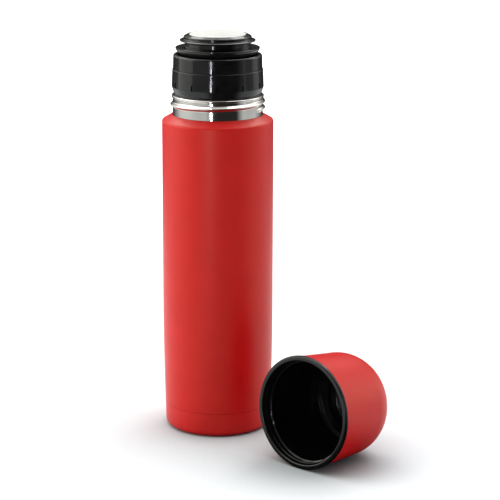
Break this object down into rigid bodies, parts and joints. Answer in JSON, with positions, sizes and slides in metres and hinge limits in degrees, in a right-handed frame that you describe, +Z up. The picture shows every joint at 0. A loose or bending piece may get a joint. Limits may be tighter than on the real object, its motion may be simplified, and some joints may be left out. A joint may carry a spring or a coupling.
{
  "type": "vacuum flask",
  "caption": "Slim painted vacuum flask with a bare steel neck, a black push-button pouring stopper, and its domed cup lying beside it, mouth towards the front.",
  "frame": {"origin": "centre of the flask's foot, on the surface it stands on", "axes": "+Z up along the flask; the flask is round about Z; the cup lies at +X, -Y, its mouth facing -X, -Y and its dome +X, +Y"},
  "size_m": [0.1347, 0.1433, 0.2455],
  "materials": {
    "body_paint": "satin soft-touch red paint",
    "base_paint": "satin soft-touch red paint",
    "vessel_steel": "polished stainless steel, bare on the neck",
    "inner_steel": "as-drawn stainless steel",
    "plate_steel": "as-pressed stainless steel",
    "solder_glass": "dark glass solder",
    "getter_pellet": "dull sintered pellet in a rim",
    "copper_foil": "bright copper foil",
    "stopper_plastic": "semi-gloss moulded black",
    "grip_plastic": "semi-gloss moulded black",
    "guide_plastic": "semi-gloss moulded black",
    "base_plastic": "moulded black",
    "ring_plastic": "semi-gloss moulded black",
    "button_plastic": "semi-gloss moulded black",
    "valve_plastic": "moulded black",
    "disc_steel": "bright satin steel",
    "stem_steel": "turned stainless rod",
    "spring_steel": "drawn spring wire",
    "screw_steel": "machined screw",
    "silicone": "matte silicone",
    "seal_silicone": "matte silicone",
    "cup_paint": "satin soft-touch red paint",
    "liner_plastic": "semi-gloss moulded black"
  },
  "bodies": {
    "flask": {"outer_shell": "body_paint", "base_cap": "base_paint", "vacuum_plate": "plate_steel", "vacuum_seal": "solder_glass", "getter": "getter_pellet", "inner_vessel": "vessel_steel", "inner_bottom": "inner_steel", "reflective_wrap": "copper_foil"},
    "seal_ring": {"neck_seal": "silicone"},
    "stopper": {"stopper_body": "stopper_plastic", "grip_collar": "grip_plastic", "plug_base": "base_plastic", "pour_guide": "guide_plastic", "stem_seal": "seal_silicone", "button_spring": "spring_steel"},
    "release": {"release_ring": "ring_plastic"},
    "button": {"push_button": "button_plastic", "button_disc": "disc_steel", "valve_stem": "stem_steel", "valve_disc": "valve_plastic", "valve_seal": "seal_silicone", "valve_screw": "screw_steel"},
    "cup": {"cup_shell": "cup_paint", "cup_liner": "liner_plastic"}
  },
  "joints": [
    {"name": "stopper_rise", "type": "slide", "parent": "flask", "child": "seal_ring", "axis": [0, 0, 1], "range_m": [0, 0.005]},
    {"name": "stopper_turn", "type": "hinge", "parent": "seal_ring", "child": "stopper", "pos_m": [0, 0, 0.205], "axis": [0, 0, 1], "range_deg": [0, 450.5]},
    {"name": "button_press", "type": "slide", "parent": "stopper", "child": "button", "axis": [0, 0, -1], "range_m": [0, 0.003], "stiffness_N_per_m": 270, "springref_m": -0.01, "deforming": ["button_spring"]},
    {"name": "ring_press", "type": "slide", "parent": "stopper", "child": "release", "axis": [0, 0, -1], "range_m": [0, 0.0015], "stiffness_N_per_m": 800, "springref_m": -0.001},
    {"name": "cup_lift", "type": "slide", "parent": "flask", "child": "cup", "axis": [0, 0, 1], "range_m": [0, 0.15]}
  ],
  "couplings": [
    {"joint": "stopper_turn", "follows": "stopper_rise", "rad_per_m": 1570.8}
  ]
}
